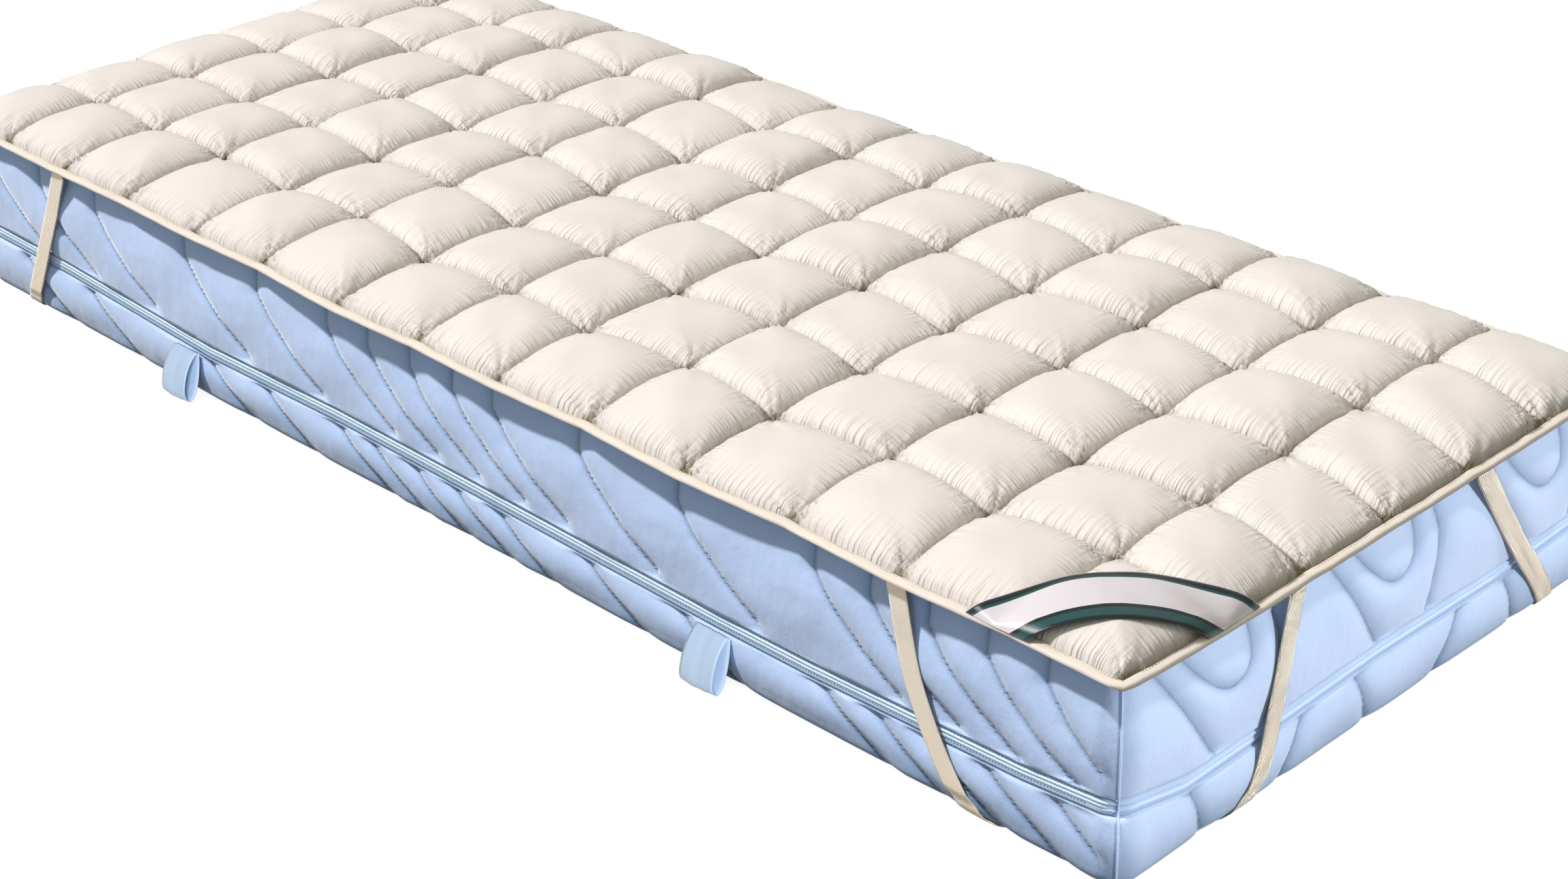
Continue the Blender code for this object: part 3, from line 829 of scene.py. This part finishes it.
def buildMattress(material):
    places, outs = sidePlaces()
    zips = zipHeight(places, outs)
    section = np.array([sideSection(z) for z in zips])
    out, height = section[..., 0], section[..., 1]
    longLines, shortLines = channelLines()
    onLong = (np.abs(outs[:, 0]) > np.abs(outs[:, 1]))[:, None]
    s = np.where(onLong, places[:, 1:], places[:, :1]) + 0 * height
    signed = np.where(onLong, channelDistance(s, height, longLines), channelDistance(s, height, shortLines))
    away = np.abs(signed)
    inGroove = np.abs(height - zips[:, None]) < mattress["groove"] - 0.0002
    wide = mattress["channelWidth"]
    dip = 0.45 * np.exp(-away / mattress["creaseWidth"]) + 0.55 * np.exp(-(away / wide) ** 1.3)
    lip = np.exp(-((signed - 1.2 * wide) / wide) ** 2)
    body = np.clip((height - mattress["bottom"]) / 0.007, 0, 1)
    body = body * np.clip((mattress["top"] - height) / 0.012, 0, 1)
    straight = np.clip(8 * (np.abs(outs).max(1) - 0.90), 0, 1)[:, None]     # not round the corners
    slow = 0.0007 * np.sin(s / 0.031 + height / 0.019)
    moved = (0.0005 * lip - mattress["channelDepth"] * dip + slow) * body * straight
    out = np.minimum(out + np.where(inGroove, 0, moved), 0.0054)
    points = np.concatenate([places[:, None] + out[..., None] * outs[:, None], height[..., None]], -1)
    count, levels = height.shape
    faces = quads(count, levels, True, False)
    flat = [points.reshape(-1, 3)]
    onLine = straight > 0.5
    near = np.where(onLine & ~inGroove, np.clip((0.012 - away) / 0.004, 0, 1), 0)
    # each mask over the sides, and its value on the underside and the top
    # painted shade: channel darkens the channel dips and the zip's groove, low the lower edge; fromChannel
    # and nearChannel place a painted dark line along each sewn channel
    masks = {"channel": ([np.where(inGroove, 1.0, dip * straight * body)], (0.0, 0.0)),
             "fromChannel": ([np.where(onLine, 1000 * np.clip(signed, -0.02, 0.02), 20.0)], (20.0, 20.0)),
             "nearChannel": ([near], (0.0, 0.0)),
             "low": ([np.exp(-(height - mattress["bottom"]) / mattress["lowShade"])], (1.0, 0.0))}
    total = count * levels
    for end in (0, 1):
        ring = points[:, -end]
        loop = np.arange(count) * levels + end * (levels - 1)
        for inset in (0.03, 0.10, 0.25):
            inner = ring.copy()
            size = np.abs(ring[:, :2])
            inner[:, :2] = np.sign(ring[:, :2]) * np.maximum(size - inset, 0.02 * size)
            flat.append(inner)
            for parts, values in masks.values():
                parts.append(np.full(count, values[end]))
            after = np.arange(total, total + count)
            total += count
            faces += bridge(loop, after)
            loop = after
        faces.append(loop.tolist())
    return makeObject("mattressCover", np.concatenate(flat), faces, material, attributes={
        label: np.concatenate([part.ravel() for part in parts]) for label, (parts, _) in masks.items()})


def knitCloth():
    def sewnLine(tree):
        # a crisp line where a channel is sewn, from the distance to it in millimetres; in the colour it is
        # painted shade
        away = maths(tree, "ABSOLUTE", attribute(tree, "fromChannel"))
        line = maths(tree, "EXPONENT", maths(tree, "MULTIPLY", away, -0.40))
        return maths(tree, "MULTIPLY", line, attribute(tree, "nearChannel"))

    # painted shade: darker in the channel dips and the zip's groove, along each sewn line and towards the
    # lower edge
    def mask(tree):
        soft = maths(tree, "MULTIPLY", attribute(tree, "channel"), 0.30)
        line = maths(tree, "MULTIPLY", sewnLine(tree), 0.50)
        low = maths(tree, "MULTIPLY", attribute(tree, "low"), 0.95)
        return maths(tree, "ADD", maths(tree, "ADD", soft, line), low)

    def height(tree):
        stretch = addNode(tree, "ShaderNodeMapping", {"Scale": (1.0, 1.0, 0.7), "Vector": objectPlace(tree)})
        lumps = noise(tree, {"Scale": 46, "Detail": 3, "Vector": stretch.outputs["Vector"]})
        return maths(tree, "SUBTRACT", lumps, maths(tree, "MULTIPLY", sewnLine(tree), 0.45)), 0.0012
    # tint(84, 114, 148) is the painted shade's colour, and that of darker random patches
    return clothMaterial("mattressKnit", tint(185, 204, 236), tint(84, 114, 148),
                         {"threads": 2600.0, "weaveHeight": 0.00016, "roughness": 0.85, "sheen": 0.6,
                          "patch": 0.10, "patchSize": 14.0}, mask, height)


mattressCover = buildMattress(knitCloth())
wear(mattressCover, "mattress")
print("mattress made:", len(mattressCover.data.polygons), "faces")


# piping up each corner of the cover

piping = {"radius": 0.0010, "around": 8, "low": 0.012, "high": 0.228}


def buildPiping(material):
    points, faces = [], []
    steps, around = 60, piping["around"]
    reach = mattress["corner"] * (1 - math.sqrt(0.5))
    zs = np.linspace(piping["low"], piping["high"], steps)
    angle = np.linspace(0, 2 * np.pi, around, endpoint=False)
    thick = np.full((steps, 1), piping["radius"])
    thick[[0, -1]] *= 0.15
    for sx, sy in ((-1, -1), (-1, 1), (1, -1), (1, 1)):
        way = np.array([sx, sy]) / math.sqrt(2)
        corner = np.array([sx * (mattress["width"] / 2 - reach), sy * (mattress["length"] / 2 - reach)])
        zipZ = mattress["zipLongZ"][0 if sy < 0 else -1]
        section = np.array(sideSection(zipZ))
        section = section[np.abs(section[:, 1] - zipZ) > mattress["groove"] + 0.001]
        out = np.interp(zs, section[:, 1], section[:, 0]) + 0.0004
        out -= 0.0035 * np.exp(-((zs - zipZ) / 0.011) ** 4)
        ringOut = (out[:, None] + thick * np.cos(angle))[..., None] * way
        ringSide = (thick * np.sin(angle))[..., None] * np.array([-way[1], way[0]])
        up = np.broadcast_to(zs[:, None, None], (steps, around, 1))
        faces += tubeFaces(steps, around, len(points))
        points += np.concatenate([corner + ringOut + ringSide, up], -1).reshape(-1, 3).tolist()
    return makeObject("cornerPiping", points, faces, material)


cornerPiping = buildPiping(clothMaterial(
    "pipingCloth", tint(192, 211, 240), tint(150, 176, 212),
    {"threads": 4200.0, "weaveHeight": 0.00015, "roughness": 0.7}))
wear(cornerPiping)


# zip band

zipBand = {
    "cordLow": -0.0022, "cordWide": 0.0043,     # two cords
    "rows": (-0.0068, -0.0032, 0.0075),         # rows of stitching
}


def buildZip(material):
    places, outs = sidePlaces()
    zips = zipHeight(places, outs)
    longShare = np.clip((np.abs(outs[:, 0]) - 0.75) / 0.24, 0, 1)
    low, high = zipBand["cordLow"], zipBand["cordLow"] + 2 * zipBand["cordWide"]
    zs = np.concatenate([[-0.0084, -0.0078, -0.0060, -0.0040, low - 0.0006], np.linspace(low, high, 17),
                         [high + 0.0004, high + 0.0018]])
    onCord = (zs >= low) & (zs <= high)
    cord = np.where(onCord, np.abs(np.sin(np.pi * (zs - low) / zipBand["cordWide"])) ** 0.5, 0)
    ridge = np.exp(-(np.abs(zs) - 0.0036) ** 2 / 0.0018 ** 2)
    longOut = np.where(onCord, -0.0012 + 0.0010 * cord, -0.0009 - 0.0016 * (zs < -0.0080))
    shortOut = -0.0030 + 0.0020 * ridge
    out = longShare[:, None] * longOut + (1 - longShare[:, None]) * shortOut
    out = np.hstack([out, np.full((len(places), 2), -0.0041)])      # the back
    up = zips[:, None] + np.concatenate([zs, zs[-1:], zs[:1]])
    ring = np.concatenate([places[:, None] + out[..., None] * outs[:, None], up[..., None]], -1)
    size = ring.shape[1]
    # painted shade: the tape is darker between its two cords and beside them
    parting = np.abs(zs - low - zipBand["cordWide"]) < 0.0006
    groove = np.concatenate([np.where(onCord, 0.55 * parting, 0.35), [1, 1]])
    return makeObject("zipTape", ring, quads(len(places), size, True, True), material,
                      attributes={"zipCord": np.repeat(longShare, size),
                                  "zipGrooveShade": np.tile(groove, len(places))})


def zipCloth():
    def between(panel, cord):
        return lambda tree: mixed(tree, panel, cord, attribute(tree, "zipCord"))
    # its groove mask mixes towards the darker blues: painted shade
    return clothMaterial("zipTape", between(tint(184, 205, 237), tint(206, 225, 241)),
                         between(tint(150, 174, 210), tint(140, 164, 190)),
                         {"threads": 5200.0, "weaveHeight": 0.0002, "roughness": 0.6, "sheen": 0.2,
                          "patch": 0.05, "patchSize": 40.0}, lambda tree: attribute(tree, "zipGrooveShade"))


zipTape = buildZip(zipCloth())
wear(zipTape, "zip_band")


def zipLines():
    y = np.linspace(-0.955, 0.955, 300)
    z = np.interp(y, mattress["zipLongY"], mattress["zipLongZ"])
    x = np.full(len(y), mattress["width"] / 2 - 0.0009)
    return [np.column_stack([side * x, y, z + row]) for side in (-1, 1) for row in zipBand["rows"]]


zipThread = threadMaterial("zipThread", tint(100, 124, 150), tint(76, 98, 122))
zipStitches = sewAlong("zipStitches", zipLines(), zipThread, threads["zip"])
print("zip band made")


# handles

handle = {
    "width": 0.048, "thick": 0.0020, "across": 12,
    # (out, up) along the loop from the zip, in millimetres
    "loop": ((4.9, -9.5), (10, -13.5), (18.5, -23.5), (26, -38), (30.5, -54), (30, -64),
             (24.5, -69.5), (17, -65), (10.5, -50), (5.4, -30), (2.45, -10.5)),
}


def buildHandle(name, node, side, y, material):
    zipZ = float(np.interp(y, mattress["zipLongY"], mattress["zipLongZ"]))
    path = smoothLine(np.array(handle["loop"]) / 1000, 6)
    ahead = np.gradient(path, axis=0)
    ahead /= np.linalg.norm(ahead, axis=1)[:, None]
    normal = np.stack([ahead[:, 1], -ahead[:, 0]], 1)
    share = np.linspace(-1, 1, handle["across"] + 1)
    half = handle["thick"] / 2 * (1 - 0.55 * np.abs(share) ** 6)
    run = np.linspace(0, 1, len(path))[:, None]
    sway = 0.0010 * np.sin(7 * run + 2 * share) * np.sin(np.pi * run) + 0.00025 * np.cos(share * 9)

    def placed(out, across):
        # points beside the path, each at its share of the width
        line = path[:, None] + normal[:, None] * out[..., None]
        return np.stack([side * (mattress["width"] / 2 + line[..., 0]),
                         y + across * handle["width"] / 2 + 0 * run, zipZ + line[..., 1]], -1)
    ring = np.concatenate([placed(sway + half, share), placed(sway - half, share)[:, ::-1]], 1)
    obj = makeObject(name, ring, tubeFaces(len(path), ring.shape[1]), material,
                     uv=grid(run[:, 0], np.concatenate([share, share[::-1]])))
    wear(obj, node)
    rise = handle["thick"] / 2 * 0.85 + 0.0002
    return [placed(rise + 0 * run, place)[:, 0] for place in (-0.86, 0.86)]


handleMaterial = clothMaterial("handleCloth", tint(190, 212, 240), tint(130, 158, 200),
                               {"threads": 3600.0, "weaveHeight": 0.0002, "roughness": 0.8, "sheen": 0.4,
                                "patch": 0.08, "patchSize": 30.0})
handleLines = []
for name, node, side, y in (("handleNearLeft", "handle_near_left", -1, -0.465),
                            ("handleFarLeft", "handle_far_left", -1, 0.495),
                            ("handleNearRight", "handle_near_right", 1, -0.480),
                            ("handleFarRight", "handle_far_right", 1, 0.480)):
    handleLines += buildHandle(name, node, side, y, handleMaterial)
handleThread = threadMaterial("handleThread", tint(215, 230, 246), tint(150, 175, 205))
sewAlong("handleStitches", handleLines, handleThread, threads["handle"])
print("handles made")


# elastic corner bands

strap = {
    "width": 0.025, "thick": 0.0012, "across": 10, "clear": 0.0008,
    # (out, height) up the side, above the lower edge
    "rise": ((-0.0055, 0.032), (-0.0068, 0.120), (-0.0072, 0.170), (-0.0090, 0.202), (-0.0100, 0.2330)),
}


def strapProfile():
    edge, bottom = mattress["edge"], mattress["bottom"]
    radius = edge + strap["clear"] + strap["thick"] / 2
    line = [(edge - radius * math.sin(t), bottom + edge - radius * math.cos(t))
            for t in np.linspace(0, np.pi / 2, 9)]
    return np.array([*line, *strap["rise"]])


def buildStrap(name, node, sx, sy, longSide, shortSide, material):
    line = strapProfile()
    run = runAlong(line)
    top = run[-1]
    halfW, halfL = mattress["width"] / 2, mattress["length"] / 2
    flatW, flatL = halfW - mattress["edge"], halfL - mattress["edge"]
    levels = (top, 0.55 * top, 0.05 * top)
    knots = [(-flatW - level, -halfL + place) for level, place in zip(levels, longSide)]
    knots += [(-halfW + place, -flatL - level) for level, place in zip(levels, shortSide)][::-1]
    middle = smoothLine(knots, 40)      # the band laid out flat from the corner
    way = np.gradient(middle, axis=0)
    way /= np.linalg.norm(way, axis=1)[:, None]
    left = np.stack([-way[:, 1], way[:, 0]], 1) * strap["width"] / 2
    share = np.linspace(-1, 1, strap["across"] + 1)
    lanes = [middle + side * left for side in share]
    runs = np.unique(np.concatenate([np.linspace(0, top, 50), run]))
    section = np.column_stack([np.interp(runs, run, line[:, 0]), np.interp(runs, run, line[:, 1])])
    outward = np.gradient(section, axis=0)
    outward = np.stack([-outward[:, 1], outward[:, 0]], 1)
    outward /= np.linalg.norm(outward, axis=1)[:, None]
    half = strap["thick"] / 2 * (1 - 0.4 * np.abs(share) ** 8)
    onLong = np.column_stack([np.interp(-flatW - runs, lane[:, 0], lane[:, 1]) for lane in lanes])
    onShort = np.column_stack([np.interp(flatL + runs, -lane[:, 1], lane[:, 0]) for lane in lanes])
    under = np.array([lane[len(middle) // 2] for lane in lanes])
    rings = []
    for face in (1, -1):
        step = section[:, None] + outward[:, None] * (face * half)[:, None]
        out, up = step[..., 0], step[..., 1]
        rows = [np.stack([out - halfW, onLong, up], -1)[::-1],
                np.column_stack([under, strap["thick"] / 2 - face * half])[None],
                np.stack([onShort, out - halfL, up], -1)]
        rings.append(np.concatenate(rows)[:, ::face])
    ring = np.concatenate(rings, 1) * (-sx, -sy, 1)
    length = runAlong(ring[:, strap["across"] // 2])
    obj = makeObject(name, ring, tubeFaces(len(ring), ring.shape[1]), material,
                     uv=grid(length, np.concatenate([share, share[::-1]])),
                     attributes={"low": np.clip(1 - ring[..., 2] / 0.2, 0, 1)})
    wear(obj, node)


def elasticCloth():
    def mask(tree):
        return maths(tree, "MULTIPLY", attribute(tree, "low"), 0.35)

    def height(tree):
        place = separate(tree, uvPlace(tree))
        ribs = maths(tree, "SINE", maths(tree, "MULTIPLY", place["Y"], 31.4))
        cross = maths(tree, "SINE", maths(tree, "MULTIPLY", place["X"], 3600.0))
        return maths(tree, "ADD", ribs, maths(tree, "MULTIPLY", cross, 0.4)), 0.00022
    return clothMaterial("elasticBand", tint(218, 209, 196), tint(202, 184, 158),
                         {"threads": 5000.0, "weaveHeight": 0.00012, "roughness": 0.75, "sheen": 0.2,
                          "patch": 0.08, "patchSize": 40.0}, mask, height)


elasticMaterial = elasticCloth()
for name, node, sx, sy, longSide, shortSide in (
        ("strapNearLeft", "strap_near_left", -1, -1, (0.266, 0.244, 0.173), (0.237, 0.222, 0.180)),
        ("strapNearRight", "strap_near_right", 1, -1, (0.262, 0.232, 0.160), (0.254, 0.176, 0.086)),
        ("strapFarLeft", "strap_far_left", -1, 1, (0.258, 0.192, 0.116), (0.250, 0.215, 0.150)),
        ("strapFarRight", "strap_far_right", 1, 1, (0.260, 0.225, 0.150), (0.250, 0.215, 0.150))):
    buildStrap(name, node, sx, sy, longSide, shortSide, elasticMaterial)
print("straps made")


# floor, lights and world

studio = {
    # each light: power, way towards it, degrees across, colour
    "padKey": (2.56, (-0.62, 0.72, 0.74), 9, (1.0, 0.955, 0.965)),
    "longLight": (5.1, (-1.0, 0.80, 2.90), 3, (1.0, 0.985, 0.985)),
    "longFill": (0.36, (-1.0, -0.25, 0.10), 20, (0.10, 0.48, 1.0)),
    "strapFill": (1.20, (-1.0, 0.45, 0.30), 20, (1.0, 0.93, 0.86)),
    "farLongLight": (1.4, (1.0, -0.80, 2.70), 6, (1.0, 1.0, 1.0)),
    "handleLight": (2.75, (-0.85, -1.0, 0.55), 15, (0.98, 0.99, 1.0)),
    "farHandleLight": (2.75, (0.85, 1.0, 0.55), 15, (0.98, 0.99, 1.0)),
    "shortLight": (2.62, (0.30, -1.0, 0.25), 9, (0.98, 0.99, 1.0)),
    "farShortLight": (1.65, (0.30, 1.0, 0.25), 9, (1.0, 1.0, 1.0)),
    "floorLight": (1.2, (-0.2, -0.2, 1.0), 12, (1.0, 1.0, 1.0)),
    "sky": 0.485, "skyLow": 0.10, "backdrop": 1.05, "floorGlow": 0.85, "floorHalf": 30,
    "skyTint": (1.0, 0.985, 0.885),
}


def buildFloor():
    size = studio["floorHalf"]
    mat, tree, bsdf = newMaterial("floor")
    share = noise(tree, {"Scale": 3, "Vector": objectPlace(tree)})
    feed(tree, bsdf, {"Base Color": mixed(tree, (0.93, 0.93, 0.93, 1), (0.96, 0.96, 0.96, 1), share),
                      "Roughness": 0.9, "Emission Color": (1, 1, 1, 1),
                      "Emission Strength": studio["floorGlow"]})
    made = makeObject("floor", [(-size, -size, 0), (size, -size, 0), (size, size, 0), (-size, size, 0)],
                      [(0, 1, 2, 3)], mat, smooth=False)
    if made.data.polygons[0].normal.z < 0:
        made.data.flip_normals()
    made.visible_diffuse = False
    return made


def buildSun(name, receivers):
    power, way, across, colour = studio[name]
    data = bpy.data.lights.new(name, "SUN")
    data.energy = power
    data.angle = math.radians(across)
    data.color = colour
    obj = bpy.data.objects.new(name, data)
    obj.rotation_euler = Vector(way).to_track_quat("Z", "Y").to_euler()
    obj.location = Vector(way) * 3
    collection.objects.link(obj)
    lit = bpy.data.collections.new(name + "Receivers")
    for piece in receivers:
        lit.objects.link(piece)
    obj.light_linking.receiver_collection = lit


def buildWorld():
    world = bpy.data.worlds.new("studio")
    bpy.context.scene.world = world
    world.use_nodes = True
    tree = world.node_tree
    tree.nodes.clear()
    place = separate(tree, addNode(tree, "ShaderNodeTexCoord").outputs["Generated"])
    up = addNode(tree, "ShaderNodeMapRange", {
        "Value": place["Z"], "From Min": -0.15, "From Max": 0.35,
        "To Min": studio["skyLow"], "To Max": studio["sky"]})
    light = addNode(tree, "ShaderNodeBackground", {
        "Color": (*studio["skyTint"], 1), "Strength": up.outputs["Result"]})
    seen = addNode(tree, "ShaderNodeBackground", {"Color": (1, 1, 1, 1), "Strength": studio["backdrop"]})
    path = addNode(tree, "ShaderNodeLightPath")
    mix = addNode(tree, "ShaderNodeMixShader", {
        "Fac": path.outputs["Is Camera Ray"], 1: light.outputs["Background"], 2: seen.outputs["Background"]})
    addNode(tree, "ShaderNodeOutputWorld", {"Surface": mix.outputs["Shader"]})


floor = buildFloor()
onPad = [topper, bindingTape, padStitches, edgeStitches, satinBand]
onHandles = [o for o in bpy.data.objects if o.type == "MESH" and o.name.startswith("handle")]
onSides = [o for o in bpy.data.objects if o.type == "MESH" and o not in onPad + onHandles and o != floor]
buildSun("padKey", onPad)
onCover = [mattressCover, cornerPiping, zipTape, zipStitches]
buildSun("longFill", onCover)
buildSun("strapFill", [o for o in onSides if o.name.startswith("strap")])
for name in ("longLight", "farLongLight", "shortLight", "farShortLight"):
    buildSun(name, onSides)
for name in ("handleLight", "farHandleLight"):
    buildSun(name, onHandles)
buildSun("floorLight", [floor])
buildWorld()
print("lights and floor made")

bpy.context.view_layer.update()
